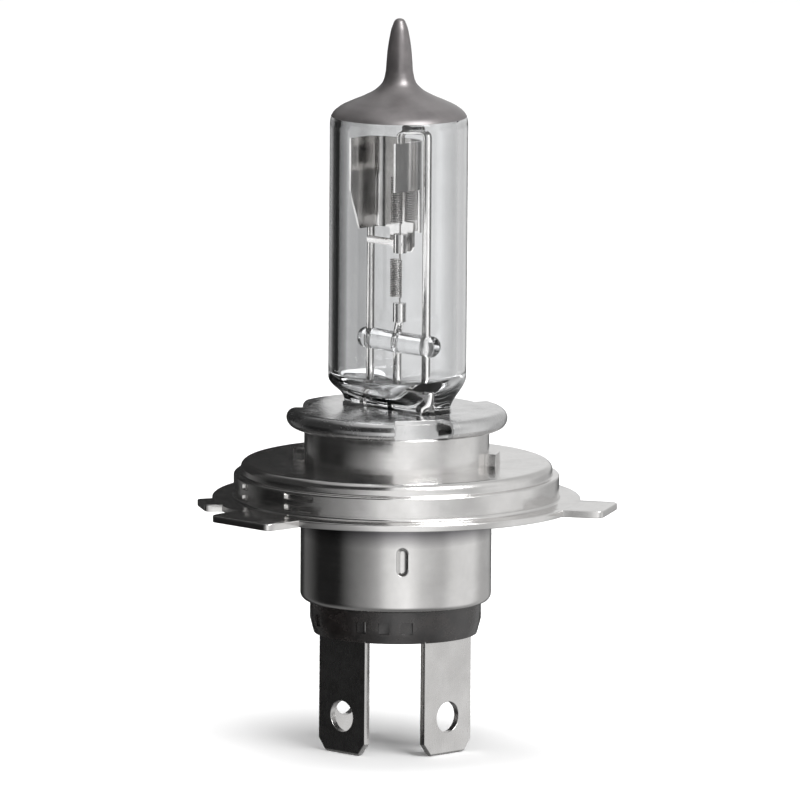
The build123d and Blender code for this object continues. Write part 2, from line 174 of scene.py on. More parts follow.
# An empty material with its surface shader.
def newMaterial(name):
    material = bpy.data.materials.new(name)
    material.use_nodes = True
    tree = material.node_tree
    shader = next(node for node in tree.nodes if node.type == "BSDF_PRINCIPLED")
    return material, tree, shader


# A shader node with its options set; an input given a socket is linked, any other gets the value.
def addNode(tree, kind, inputs=None, **settings):
    node = tree.nodes.new(kind)
    for key, value in settings.items():
        setattr(node, key, value)
    for key, value in (inputs or {}).items():
        if isinstance(value, bpy.types.NodeSocket):
            tree.links.new(value, node.inputs[key])
        else:
            node.inputs[key].default_value = value
    return node


# The point being shaded, in the piece's own coordinates.
def objectPoint(tree):
    return addNode(tree, "ShaderNodeTexCoord").outputs["Object"]


# Noise of the point's coordinates, each first multiplied by its own stretch.
def noise(tree, vector, scale, detail, roughness, stretch=(1, 1, 1)):
    mapping = addNode(tree, "ShaderNodeMapping", {"Vector": vector, "Scale": stretch})
    inputs = {"Vector": mapping.outputs[0], "Scale": scale, "Detail": detail, "Roughness": roughness}
    return addNode(tree, "ShaderNodeTexNoise", inputs).outputs["Fac"]


# A straight line from one result to another as the value goes between two limits, flat outside.
def rampTo(tree, value, low, high, fromLow=0.3, fromHigh=0.7):
    inputs = {"Value": value, "From Min": fromLow, "From Max": fromHigh, "To Min": low, "To Max": high}
    return addNode(tree, "ShaderNodeMapRange", inputs).outputs["Result"]


# The dark colour where the value is 0, the light one where it is 1, and their mix between.
def mixColour(tree, value, dark, light):
    inputs = {0: value, 6: (*dark, 1), 7: (*light, 1)}
    return addNode(tree, "ShaderNodeMix", inputs, data_type="RGBA").outputs[2]


# Radius from the axis and height of each point, so that a pattern of lines runs round the axis.
def lathePoint(tree, vector):
    parts = addNode(tree, "ShaderNodeSeparateXYZ", {0: vector})
    flat = addNode(tree, "ShaderNodeCombineXYZ", {"X": parts.outputs["X"], "Y": parts.outputs["Y"]})
    radius = addNode(tree, "ShaderNodeVectorMath", {0: flat.outputs[0]}, operation="LENGTH")
    inputs = {"X": radius.outputs["Value"], "Z": parts.outputs["Z"]}
    return addNode(tree, "ShaderNodeCombineXYZ", inputs).outputs[0]


# Tilts the normal by the slope of a height pattern, full swing being the look's depth.
def bumpBy(tree, shader, height, look):
    inputs = {"Height": height, "Strength": look["bumpStrength"], "Distance": look["bumpDepth"] * mm}
    bump = addNode(tree, "ShaderNodeBump", inputs)
    tree.links.new(bump.outputs["Normal"], shader.inputs["Normal"])


# A colour between dark and light that follows a clouded pattern.
def cloudedColour(tree, cloud, look):
    return mixColour(tree, rampTo(tree, cloud, 0, 1), look["dark"], look["light"])


# Painted shade by height: a band that fades in between its foot's two heights, just under the flange,
# and out again between its top's two heights above the seat.
def paintedShadeBand(tree, point, look):
    height = addNode(tree, "ShaderNodeSeparateXYZ", {0: point}).outputs["Z"]
    foot, top = look["paintedShadeFoot"], look["paintedShadeTop"]
    rising = rampTo(tree, height, 0, 1, foot[0] * mm, foot[1] * mm)
    ending = rampTo(tree, height, 1, 0, top[0] * mm, top[1] * mm)
    return addNode(tree, "ShaderNodeMath", {0: rising, 1: ending}, operation="MULTIPLY").outputs[0]


# Plated or rolled metal. Its tone follows a slow cloud; its gloss and its small bumps follow the
# sum of a finer smudge and of the lines that drawing or rolling leaves.
def sheetMetal(name, look):
    material, tree, shader = newMaterial(name)
    point = objectPoint(tree)
    lines = lathePoint(tree, point) if look["lathe"] else point
    grain = noise(tree, lines, look["grain"], *metalHabit["grainNoise"], look["stretch"])
    cloud = noise(tree, point, look["cloud"], *metalHabit["cloudNoise"])
    finer = look["cloud"] * metalHabit["smudgeFineness"]
    smudge = noise(tree, point, finer, *metalHabit["smudgeNoise"])
    colour = cloudedColour(tree, cloud, look)
    # painted shade: a dark tone mixed into the base colour as a band under the flange
    if "paintedShadeTone" in look:
        mix = addNode(tree, "ShaderNodeMix", {0: paintedShadeBand(tree, point, look)}, data_type="RGBA")
        tree.links.new(colour, mix.inputs[6])
        mix.inputs[7].default_value = (*look["paintedShadeTone"], 1)
        colour = mix.outputs[2]
    tree.links.new(colour, shader.inputs["Base Color"])
    blend = addNode(tree, "ShaderNodeMath", {0: grain, 1: smudge}, operation="ADD").outputs[0]
    gloss = rampTo(tree, blend, *look["roughness"], *metalHabit["glossRange"])
    tree.links.new(gloss, shader.inputs["Roughness"])
    shader.inputs["Metallic"].default_value = 1.0
    bumpBy(tree, shader, blend, look)
    return material


# what every metal here shares; each noise has its detail and its roughness
metalHabit = {
    "grainNoise": (3.0, 0.6), "cloudNoise": (5.0, 0.6), "smudgeNoise": (6.0, 0.65),
    "smudgeFineness": 3.1, "glossRange": (0.75, 1.3),
}
nickelLook = {
    "lathe": True, "grain": 2600, "stretch": (1, 1, 1), "cloud": 160, "dark": (0.66, 0.65, 0.64),
    "light": (0.80, 0.79, 0.78), "roughness": (0.12, 0.26), "bumpStrength": 0.06, "bumpDepth": 0.01,
}
# painted shadow: the shell is darkened close under the flange, where the flange shades it
shellPaintedShadeLook = dict(nickelLook, paintedShadeFoot=(-4.5, -2.7), paintedShadeTop=(1, 2), paintedShadeTone=(0.2, 0.195, 0.205))
stainlessLook = {
    "lathe": False, "grain": 900, "stretch": (1, 8, 1), "cloud": 210, "dark": (0.60, 0.60, 0.60),
    "light": (0.76, 0.76, 0.76), "roughness": (0.14, 0.30), "bumpStrength": 0.12, "bumpDepth": 0.02,
}
bladeLook = {
    "lathe": False, "grain": 900, "stretch": (8, 8, 1), "cloud": 240, "dark": (0.60, 0.59, 0.58),
    "light": (0.74, 0.73, 0.72), "roughness": (0.22, 0.34), "bumpStrength": 0.1, "bumpDepth": 0.01,
}
molybdenumLook = {
    "lathe": False, "grain": 700, "stretch": (3, 3, 0.5), "cloud": 200, "dark": (0.56, 0.55, 0.54),
    "light": (0.74, 0.73, 0.72), "roughness": (0.1, 0.2), "bumpStrength": 0.06, "bumpDepth": 0.01,
}
tungstenLook = {
    "lathe": False, "grain": 6000, "stretch": (1, 1, 1), "cloud": 900, "dark": (0.22, 0.21, 0.20),
    "light": (0.40, 0.39, 0.38), "roughness": (0.3, 0.5), "bumpStrength": 0.1, "bumpDepth": 0.005,
}


# Clear glass: a faint haze sets its tint and gloss, and long upright waves bend what is behind it.
def quartzMaterial(look):
    material, tree, shader = newMaterial("quartzGlass")
    point = objectPoint(tree)
    haze = noise(tree, point, look["haze"], *look["hazeNoise"])
    gloss = rampTo(tree, haze, *look["roughness"], *look["hazeRange"])
    tree.links.new(gloss, shader.inputs["Roughness"])
    tree.links.new(cloudedColour(tree, haze, look), shader.inputs["Base Color"])
    waves = noise(tree, point, look["waves"], *look["waveNoise"], look["waveStretch"])
    bumpBy(tree, shader, waves, look)
    shader.inputs["Transmission Weight"].default_value = 1.0
    shader.inputs["IOR"].default_value = look["refraction"]
    return material


quartzLook = {
    "haze": 180, "hazeNoise": (5.0, 0.6), "hazeRange": (0.45, 0.75), "roughness": (0.0, 0.04),
    "dark": (0.86, 0.865, 0.87), "light": (0.93, 0.935, 0.94), "waves": 60, "waveNoise": (2.0, 0.5),
    "waveStretch": (6, 6, 0.6), "bumpStrength": 0.15, "bumpDepth": 0.05, "refraction": 1.458,
}


# A dull skin: tone and gloss follow one clouded pattern, and the bumps follow a fine grain.
def dullMaterial(name, look):
    material, tree, shader = newMaterial(name)
    point = objectPoint(tree)
    cloud = noise(tree, point, look["cloud"], *look["cloudNoise"])
    tree.links.new(cloudedColour(tree, cloud, look), shader.inputs["Base Color"])
    tree.links.new(rampTo(tree, cloud, *look["roughness"]), shader.inputs["Roughness"])
    grain = noise(tree, point, look["grain"], *look["grainNoise"])
    bumpBy(tree, shader, grain, look)
    shader.inputs["Metallic"].default_value = look["metallic"]
    shader.inputs["Specular IOR Level"].default_value = look["specular"]
    return material


coatingLook = {
    "cloud": 260, "cloudNoise": (6.0, 0.65), "grain": 2200, "grainNoise": (3.0, 0.6),
    "dark": (0.19, 0.178, 0.18), "light": (0.26, 0.246, 0.246), "roughness": (0.32, 0.44),
    "bumpStrength": 0.15, "bumpDepth": 0.02, "metallic": 0.8, "specular": 0.5,
}
insulatorLook = {
    "cloud": 420, "cloudNoise": (6.0, 0.65), "grain": 3000, "grainNoise": (4.0, 0.6),
    "dark": (0.004, 0.0035, 0.0035), "light": (0.018, 0.014, 0.013), "roughness": (0.18, 0.32),
    "bumpStrength": 0.2, "bumpDepth": 0.02, "metallic": 0.0, "specular": 0.9,
}

nickel = sheetMetal("nickelPlate", nickelLook)
shellNickelPaintedShade = sheetMetal("shellNickelPaintedShade", shellPaintedShadeLook)
stainless = sheetMetal("stainlessSheet", stainlessLook)
bladeMetal = sheetMetal("tinnedBlade", bladeLook)
molybdenum = sheetMetal("molybdenum", molybdenumLook)
tungsten = sheetMetal("tungsten", tungstenLook)
quartz = quartzMaterial(quartzLook)
coating = dullMaterial("topCoating", coatingLook)
insulatorPlastic = dullMaterial("insulatorPlastic", insulatorLook)
print("materials made")

glassSize = {
    "tubeRadius": 8.05, "wall": 1.1, "tubeFoot": 14.3, "pinchTop": 10.8, "pinchFoot": -1.0,
    "pinchHalfWidth": 7.25, "pinchHalfThickness": 2.15, "pinchSquareness": 7.0, "cavityFoot": 12.3,
    "cavityFloorRise": 2.6, "columns": 160, "headRows": 90, "wallRows": 60, "blendRows": 40,
    "pinchRows": 20, "roofRows": 60, "boreRows": 40, "floorRows": 24,
}
# radius and height down the outside, from the tip to the straight wall
tipOutline = [
    (0.0, 56.3), (0.42, 56.15), (0.82, 55.4), (1.12, 54.2), (1.34, 52.8), (1.48, 51.3), (1.6, 49.9),
    (1.92, 48.8), (2.65, 48.0), (4.0, 47.2), (5.6, 46.5), (6.9, 45.85), (7.7, 45.15), (8.0, 44.5),
    (8.05, 43.8), (8.05, 42.8),
]
# the same down the inside, from the roof's middle
cavityOutline = [
    (0.0, 48.6), (0.35, 48.2), (0.8, 47.3), (2.2, 46.75), (4.0, 46.1), (5.6, 45.35), (6.5, 44.7),
    (6.9, 43.8), (6.95, 42.8),
]


# A number raised to a power with its sign kept, which squares a circle's cosine and sine.
def squared(value, power):
    return np.sign(value) * np.abs(value) ** power


# The wall's section is a circle in the tube and a squared oval in the pinch; below the tube it
# blends from one to the other with a smooth step in height.
def glassOutside(size):
    head = smoothCurve(tipOutline, size["headRows"])
    angle = onceRound(size["columns"])
    power = 2 / size["pinchSquareness"]
    squareX = size["pinchHalfWidth"] * squared(np.cos(angle), power)
    squareY = size["pinchHalfThickness"] * squared(np.sin(angle), power)
    wallHeight = np.linspace(tipOutline[-1][1], size["tubeFoot"], size["wallRows"])[1:]
    blendHeight = np.linspace(size["tubeFoot"], size["pinchTop"], size["blendRows"])[1:]
    pinchHeight = np.linspace(size["pinchTop"], size["pinchFoot"], size["pinchRows"])[1:]
    height = np.concatenate((head[:, 1], wallHeight, blendHeight, pinchHeight))
    radius = np.full(len(height), size["tubeRadius"])
    radius[: len(head)] = head[:, 0]
    step = smoothStep(0, 1, (size["tubeFoot"] - height) / (size["tubeFoot"] - size["pinchTop"]))[:, None]
    x = (1 - step) * radius[:, None] * np.cos(angle) + step * squareX
    y = (1 - step) * radius[:, None] * np.sin(angle) + step * squareY
    z = np.broadcast_to(height[:, None], x.shape)
    surface = np.stack((x, y, z), axis=-1)
    foot = surface[-1:] * np.array((0, 0, 1))
    return np.concatenate((surface, foot))


# The inside: a roof curve, a straight bore, and a floor that is a quarter of an ellipse, turned
# round the axis and taken upwards so that it faces the other way.
def glassCavity(size):
    roof = smoothCurve(cavityOutline, size["roofRows"])
    floorTop = size["cavityFoot"] + size["cavityFloorRise"]
    side = np.linspace(cavityOutline[-1][1], floorTop, size["boreRows"])[1:]
    turn = np.linspace(0, pi / 2, size["floorRows"])[1:]
    bore = size["tubeRadius"] - size["wall"]
    radius = np.concatenate((roof[:, 0], np.full(len(side), bore), bore * np.cos(turn)))
    height = np.concatenate((roof[:, 1], side, floorTop - size["cavityFloorRise"] * np.sin(turn)))
    radius[-1] = 0.0
    return roundAxis(radius[:, None], onceRound(size["columns"]), height[:, None])[:, ::-1]


# The outside and the inside in one closed piece, the inside with its faces turned to the hollow.
def glassTube(size):
    piece = gridMesh("glass_tube", glassOutside(size))
    cavity = gridMesh("glass_cavity", glassCavity(size))
    cavity.data.flip_normals()
    work = bmesh.new()
    work.from_mesh(piece.data)
    work.from_mesh(cavity.data)
    work.to_mesh(piece.data)
    work.free()
    bpy.data.objects.remove(cavity)
    piece.data.materials.append(quartz)
    piece.visible_shadow = False
    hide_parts("glass_envelope")


# The lacquer film: the tip outline moved along its own normal, once to stand just proud of the
# dome and once, for the inner skin that closes it, to lie just clear of the dome.
def topFilm(size, film):
    head = smoothCurve(tipOutline, film["rows"])
    head = head[head[:, 1] > film["foot"]]
    outward = np.stack((-np.gradient(head[:, 1]), np.gradient(head[:, 0])), axis=-1)
    outward /= np.linalg.norm(outward, axis=1)[:, None]
    tipTop = tipOutline[0][1]
    skin = head + outward * film["proud"]
    skin[:, 1] = np.minimum(skin[:, 1], tipTop)
    skin[0, 0] = 0
    under = head + outward * film["clear"]
    under[0] = (0, tipTop - film["tipThickness"])
    profile = np.concatenate((skin, under[::-1]))
    surface = roundAxis(profile[:, :1], onceRound(size["columns"]), profile[:, 1:])
    piece = gridMesh("top_film", surface)
    piece.data.materials.append(coating)


filmSize = {"foot": 44.75, "proud": 0.03, "clear": 0.006, "tipThickness": 0.004, "rows": 120}
glassTube(glassSize)
topFilm(glassSize, filmSize)
print("glass made")

ringSize = {
    "bore": 10.82, "sheet": 0.8, "crownRadius": 18.2, "crownTop": 4.2, "crownRound": 0.8,
    "crownClear": 0.2, "pilotRadius": 19.0, "pilotTop": 2.8, "innerRound": 0.15, "stepRound": 0.25,
    "footRound": 0.3, "flangeRadius": 21.5, "edgeRound": 0.12, "lugReach": 25.8,
    "lugAngles": (-90, 30, 150), "lugWidths": (10.0, 8.0, 8.0), "earAngle": -122.5,
    "earReach": 23.3, "earWidth": 5.2, "squareness": 18, "columns": 1200, "wallRows": 30,
    "tabAngles": (35, 215), "tabHalfSpan": 8.0, "tabSideSlope": 0.5, "tabDepth": 1.3,
    "tabHeight": 1.4, "tabFold": 0.06, "tabClear": 0.5, "slotDepth": 0.45, "slotHeight": 0.6,
    "slotLevels": (0.9, 2.15), "slotPlaces": ((-82, 4.0), (-113, 1.6)), "slotInset": 0.1,
    "slotEndOutset": 0.04, "slotSideOutset": 0.02, "leastFacing": 1e-6, "flatSteps": 4,
    "crownSteps": 9, "wallSteps": 6, "edgeSteps": 4, "smoothAngle": 35,
}


# The rim's radius by angle: the largest of the flange and of each lug, a rounded rectangle in
# polar form, ((cos/reach)^n + (sin/half width)^n)^(-1/n).
def rimRadius(size, angle):
    rim = np.full(len(angle), size["flangeRadius"])
    lugs = [(a, size["lugReach"], w) for a, w in zip(size["lugAngles"], size["lugWidths"])]
    for middle, reach, width in lugs + [(size["earAngle"], size["earReach"], size["earWidth"])]:
        away = turnFrom(angle, middle)
        power = size["squareness"]
        facing = np.maximum(np.cos(away), size["leastFacing"])
        aside = np.abs(np.sin(away)) * 2 / width
        lug = ((facing / reach) ** power + aside ** power) ** (-1 / power)
        rim = np.maximum(rim, np.where(np.cos(away) > 0, lug, 0))
    return rim


# The ring's section, radius and height, from the bore over the crown, down the pilot wall, out to
# the rim and back inside. Each corner is a quarter circle, and each list is one stretch of it.
def ringSection(size):
    sheet, edge, foot = size["sheet"], size["edgeRound"], size["footRound"]
    pilot, crown = size["pilotRadius"], size["crownRadius"]
    top, step = size["crownTop"], size["pilotTop"]
    crownRound, stepRound, innerRound = size["crownRound"], size["stepRound"], size["innerRound"]
    edgeSteps, wallSteps = size["edgeSteps"], size["wallSteps"]
    tabEdge = size["bore"] + size["tabDepth"]
    tab = [(size["bore"], top), (tabEdge - size["tabFold"], top), (tabEdge, top)]
    flatEnds = (tabEdge + size["tabClear"], crown - crownRound - size["crownClear"])
    over = [(radius, top) for radius in np.linspace(*flatEnds, size["flatSteps"])]
    over += arcPoints((crown - crownRound, top - crownRound), crownRound, 90, 0, size["crownSteps"])
    over += arcPoints((crown + innerRound, step + innerRound), innerRound, 180, 270, edgeSteps)
    over += arcPoints((pilot - stepRound, step - stepRound), stepRound, 90, 0, wallSteps)
    wall = np.linspace(step - stepRound, foot, size["wallRows"])[1:-1]
    down = [(pilot, height) for height in wall]
    down += arcPoints((pilot + foot, foot), foot, 180, 270, wallSteps)
    rim = arcPoints((-edge, -edge), edge, 90, 0, edgeSteps)
    rim += arcPoints((-edge, edge - sheet), edge, 0, -90, edgeSteps)
    inside = [(pilot - sheet, -sheet), (pilot - sheet, step - sheet), (crown - sheet, step - sheet)]
    inside += [(crown - sheet, top - sheet), (size["bore"], top - sheet)]
    before = tab + over + down
    onRim = slice(len(before), len(before) + len(rim))
    onTab = slice(0, 2)
    return np.array(before + rim + inside), onRim, onTab


# The ring's section is carried round the axis; points marked as rim follow the lugs, the pilot
# wall is pressed in at the slots and the inner edge of the crown is raised at the weld tabs.
def focusingRing(size):
    section, onRim, onTab = ringSection(size)
    angle = onceRound(size["columns"])
    pilot = size["pilotRadius"]
    radius = section[:, 0][:, None] * np.ones(len(angle))
    height = section[:, 1][:, None] * np.ones(len(angle))
    radius[onRim] += rimRadius(size, angle)
    onWall = onUpright(section, pilot)
    half, inset = size["slotHeight"] / 2, size["slotInset"]
    for middle, width in size["slotPlaces"]:
        aside = np.abs(turnFrom(angle, middle)) * pilot
        across = 1 - smoothStep(width / 2 - inset, width / 2 + size["slotEndOutset"], aside)
        for level in size["slotLevels"]:
            above = np.abs(height - level)
            along = 1 - smoothStep(half - inset, half + size["slotSideOutset"], above)
            radius -= onWall * along * across * size["slotDepth"]
    span, slope = radians(size["tabHalfSpan"]), radians(size["tabHalfSpan"] - size["tabSideSlope"])
    for middle in size["tabAngles"]:
        across = 1 - smoothStep(slope, span, np.abs(turnFrom(angle, middle)))
        height[onTab] += across * size["tabHeight"]
    surface = roundAxis(radius, angle, height)
    surface = np.concatenate((surface, surface[:1]))
    piece = gridMesh("focusing_ring_finished", surface, size["smoothAngle"])
    piece.data.materials.append(nickel)
    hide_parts("focusing_ring")


focusingRing(ringSize)
print("ring made")

shellSize = {
    "wall": 0.5, "neckRadius": 10.8, "neckTop": 8.2, "shoulder": 3.4, "skirtRadius": 11.15,
    "foot": -12.1, "footRound": 0.9, "lipRadius": 10.05, "edgeRound": 0.1, "columns": 480,
    "skirtRows": 90, "crimpAngles": (-41, 79, 199), "crimpLength": 3.2, "crimpWidth": 1.2,
    "crimpDepth": 0.35, "crimpHeight": -6.0, "crimpFloor": 0.22, "crimpBrim": 0.62,
    "edgeSteps": 4, "footSteps": 10, "smoothAngle": 35,
}


# The shell's section is carried round the axis. A crimp is a smooth dent whose depth falls from
# full to nothing with the distance from a short upright line.
def baseShell(size):
    wall, edge, neck, skirt = size["wall"], size["edgeRound"], size["neckRadius"], size["skirtRadius"]
    foot, footRound, lip, shoulder = size["foot"], size["footRound"], size["lipRadius"], size["shoulder"]
    top, edgeSteps = size["neckTop"] - edge, size["edgeSteps"]
    section = arcPoints((neck - edge, top), edge, 90, 0, edgeSteps)
    section += [(neck, shoulder), (skirt, shoulder)]
    drop = foot + footRound
    section += [(skirt, height) for height in np.linspace(shoulder, drop, size["skirtRows"])[1:-1]]
    section += arcPoints((skirt - footRound, drop), footRound, 0, -90, size["footSteps"])
    section += [(lip, foot), (lip, foot + wall), (skirt - wall, foot + wall)]
    section += [(skirt - wall, shoulder - wall), (neck - wall, shoulder - wall)]
    section += arcPoints((neck - wall + edge, top), edge, 180, 90, edgeSteps)
    section = np.array(section)
    angle = onceRound(size["columns"])
    radius = section[:, 0][:, None] * np.ones(len(angle))
    height = section[:, 1][:, None] * np.ones(len(angle))
    onSkirt = onUpright(section, skirt)
    straight = (size["crimpLength"] - size["crimpWidth"]) / 2
    floor, brim = size["crimpWidth"] * size["crimpFloor"], size["crimpWidth"] * size["crimpBrim"]
    for middle in size["crimpAngles"]:
        aside = turnFrom(angle, middle) * skirt
        beyond = np.maximum(np.abs(height - size["crimpHeight"]) - straight, 0)
        dent = 1 - smoothStep(floor, brim, np.hypot(aside, beyond))
        radius -= onSkirt * dent * size["crimpDepth"]
    surface = roundAxis(radius, angle, height)
    surface = np.concatenate((surface, surface[:1]))
    piece = gridMesh("base_shell_finished", surface, size["smoothAngle"])
    piece.data.materials.append(shellNickelPaintedShade)
    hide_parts("base_shell")


baseShell(shellSize)
print("shell made")

coilSize = {
    "radius": 0.62, "wire": 0.1, "lean": -0.3, "leg": 1.5, "legStart": 0.12, "legSteps": 6,
    "pitch": 0.27, "sides": 8, "steps": 20, "smoothAngle": 60,
}
# each coil's foot and top
coilPlaces = {"low_beam": (32.3, 37.76), "high_beam": (23.6, 28.11)}


# A round wire carried along a helix whose ends run straight up and down to their clamps; each
# ring of points stands across the path's own direction.
def filamentCoil(circuit, size, foot, top):
    turns = round((top - foot) / size["pitch"])
    turn = np.linspace(0, 2 * pi * turns, turns * size["steps"] + 1)
    helix = roundAxis(size["radius"], turn, np.linspace(foot, top, len(turn)))
    helix = helix + np.array((0, size["lean"], 0))
    upward = np.array((0, 0, 1))
    legs = np.linspace(size["leg"], size["legStart"], size["legSteps"])[:, None]
    path = np.concatenate((helix[0] - upward * legs, helix, helix[-1] + upward * legs[::-1]))
    ahead = np.gradient(path, axis=0)
    ahead /= np.linalg.norm(ahead, axis=1)[:, None]
    outward = path * np.array((1, 1, 0)) - np.array((0, size["lean"], 0))
    outward -= ahead * np.sum(outward * ahead, axis=1)[:, None]
    outward /= np.linalg.norm(outward, axis=1)[:, None]
    beside = np.cross(ahead, outward)
    around = onceRound(size["sides"])[:, None]
    ring = outward[:, None] * np.cos(around) + beside[:, None] * np.sin(around)
    tube = path[:, None] + ring * size["wire"]
    tube = np.concatenate((tube[:1] * 0 + path[0], tube, tube[:1] * 0 + path[-1]))
    piece = gridMesh(circuit + "_coil", tube, size["smoothAngle"])
    piece.data.materials.append(tungsten)
    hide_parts(circuit + "_filament")


for circuit, (foot, top) in coilPlaces.items():
    filamentCoil(circuit, coilSize, foot, top)
print("filaments made")

# edge rounding, slot and material of the pieces that keep their CAD surface
finishes = {
    "pinch_holder": (0.06, "stainless_steel", stainless),
    "insulator": (0.1, "dark_insulator", insulatorPlastic),
    "common_blade": (0.08, "tinned_blade", bladeMetal),
    "low_beam_blade": (0.08, "tinned_blade", bladeMetal),
    "high_beam_blade": (0.08, "tinned_blade", bladeMetal),
    "glare_shield": (0.05, "molybdenum", molybdenum),
    "common_lead": (0, "molybdenum", molybdenum),
    "low_beam_lead": (0, "molybdenum", molybdenum),
    "high_beam_lead": (0, "molybdenum", molybdenum),
    "common_arm": (0, "molybdenum", molybdenum),
    "crimp_sleeves": (0.04, "molybdenum", molybdenum),
    "quartz_bridge": (0, "quartz_glass", quartz),
    "common_foil": (0, "molybdenum", molybdenum),
    "low_beam_foil": (0, "molybdenum", molybdenum),
    "high_beam_foil": (0, "molybdenum", molybdenum),
    "common_outer_lead": (0, "plated_lead", molybdenum),
    "low_beam_outer_lead": (0, "plated_lead", molybdenum),
    "high_beam_outer_lead": (0, "plated_lead", molybdenum),
}
for node, (bevel, slotName, material) in finishes.items():
    finishedCopy(node, bevel, material)
print("metal parts finished")

stageSize = {
    "azimuth": 45.0, "elevation": 8.7, "roll": 0.42, "lens": 800.0, "sensor": 36.0, "field": 93.3,
    "aimHeight": 11.4, "aimRight": 0.35, "farthest": 50, "floorSpan": 8000.0, "worldLevel": 0.62,
    "lampAim": (0, 0, 15),
}
floorLook = {
    "cloud": 3, "cloudNoise": (4.0, 0.5), "dark": (0.86, 0.86, 0.86), "light": (0.90, 0.90, 0.90),
    "roughness": 0.9,
}
# level directions from the axis to the camera and to the camera's right
toCamera = Vector((sin(radians(stageSize["azimuth"])), -cos(radians(stageSize["azimuth"])), 0))
toRight = Vector((cos(radians(stageSize["azimuth"])), sin(radians(stageSize["azimuth"])), 0))


# A place so far to the right of the axis, in front of it and above the reference plane.
def stagePlace(right, front, up):
    return (toRight * right + toCamera * front + Vector((0, 0, up))) * mm


# Pale and matt with a slow cloud of tone; seen from below it is clear.
def floorMaterial(look):
    material, tree, shader = newMaterial("paleFloor")
    tone = noise(tree, objectPoint(tree), look["cloud"], *look["cloudNoise"])
    tree.links.new(mixColour(tree, tone, look["dark"], look["light"]), shader.inputs["Base Color"])
    shader.inputs["Roughness"].default_value = look["roughness"]
    shader.inputs["Specular IOR Level"].default_value = 0.0
    output = next(node for node in tree.nodes if node.type == "OUTPUT_MATERIAL")
    under = addNode(tree, "ShaderNodeNewGeometry").outputs["Backfacing"]
    clear = addNode(tree, "ShaderNodeBsdfTransparent").outputs[0]
    mix = addNode(tree, "ShaderNodeMixShader", {0: under, 1: shader.outputs[0], 2: clear})
    tree.links.new(mix.outputs[0], output.inputs["Surface"])
    return material


# A mesh with one material as part of the stage.
def stageObject(name, mesh, material):
    mesh.materials.append(material)
    thing = bpy.data.objects.new(name, mesh)
    bpy.context.scene.collection.objects.link(thing)
    return thing


# One flat face through four corners.
def stagePlane(name, corners, material):
    mesh = bpy.data.meshes.new(name)
    mesh.from_pydata([tuple(corner) for corner in corners], [], [(0, 1, 2, 3)])
    return stageObject(name, mesh, material)


# A square as low as the blades' ends, half its span to each side of the axis.
def makeFloor(size, look):
    half = size["floorSpan"] * mm / 2
    low = cadBox[0][2]
    corners = [(-half, -half, low), (half, -half, low), (half, half, low), (-half, half, low)]
    ground = stagePlane("floor", corners, floorMaterial(look))
    ground.visible_glossy = False


# Only one kind of ray, reflected or refracted, meets the object.
def seenOnlyBy(thing, kind):
    thing.visible_camera = False
    thing.visible_diffuse = False
    thing.visible_shadow = False
    thing.visible_volume_scatter = False
    thing.visible_glossy = kind == "glossy"
    thing.visible_transmission = kind == "transmission"


# An upright plain card that only reflections see, half its width to each side of its place.
def glossyCard(name, card):
    material, tree, shader = newMaterial(name + "Tone")
    shader.inputs["Base Color"].default_value = (card["tone"], card["tone"], card["tone"], 1)
    shader.inputs["Specular IOR Level"].default_value = 0.0
    left, right = card["right"] - card["width"] / 2, card["right"] + card["width"] / 2
    ends = ((left, card["low"]), (right, card["low"]), (right, card["high"]), (left, card["high"]))
    corners = [stagePlace(aside, card["front"], up) for aside, up in ends]
    seenOnlyBy(stagePlane(name, corners, material), "glossy")


# A grid of points that shines with the brightness given at each point.
def glowingGrid(name, points, level, kind):
    mesh = bpy.data.meshes.new(name)
    rows, columns = points.shape[:2]
    mesh.from_pydata(points.reshape(-1, 3) * mm, [], gridQuads(rows, columns))
    brightness = mesh.attributes.new("brightness", "FLOAT", "POINT")
    brightness.data.foreach_set("value", np.broadcast_to(level, (rows, columns)).ravel())
    material = bpy.data.materials.new(name + "Glow")
    material.use_nodes = True
    tree = material.node_tree
    tree.nodes.clear()
    value = addNode(tree, "ShaderNodeAttribute", attribute_name="brightness").outputs["Fac"]
    glow = addNode(tree, "ShaderNodeEmission", {"Strength": value})
    output = addNode(tree, "ShaderNodeOutputMaterial")
    tree.links.new(glow.outputs[0], output.inputs["Surface"])
    seenOnlyBy(stageObject(name, mesh, material), kind)


# Points at a radius, a height and a compass angle, which starts on the camera's side and grows to
# the right: right = radius sin(angle), front = radius cos(angle).
def compassPoints(radius, compass, height):
    right = radius * np.sin(compass)
    front = radius * np.cos(compass)
    x = right * toRight.x + front * toCamera.x
    y = right * toRight.y + front * toCamera.y
    return np.stack((x, y, height * np.ones_like(x)), axis=-1)


# A brightness at each compass angle, on straight lines between the angles that are listed.
def levelAt(compass, listed):
    return np.interp(np.degrees(compass), *np.array(listed).T)


# The level moves towards a new one as the lift, in degrees, goes through a range.
def fadeTo(level, new, lift, start, end):
    share = np.clip((lift - start) / (end - start), 0, 1)
    return level + (new - level) * share


# A dome that metal reflects and nothing else sees. Its brightness goes by direction: one curve of
# the compass angle below the horizon, another above it, and an even level overhead and underfoot.
def reflectionDome(look):
    degrees = np.linspace(-look["lastLift"], look["lastLift"], look["rows"])[:, None]
    lift = np.radians(degrees)
    compass = np.radians(np.linspace(-180, 180, look["columns"], endpoint=False))[None, :]
    points = compassPoints(look["radius"] * np.cos(lift), compass, look["radius"] * np.sin(lift))
    below, above = levelAt(compass, look["below"]), levelAt(compass, look["above"])
    level = fadeTo(below, above, degrees, *look["horizonBand"])
    level = fadeTo(level, look["overhead"], degrees, *look["overheadBand"])
    level = fadeTo(level, look["underfoot"], -degrees, *look["underfootBand"])
    glowingGrid("reflectionDome", points, level, "glossy")


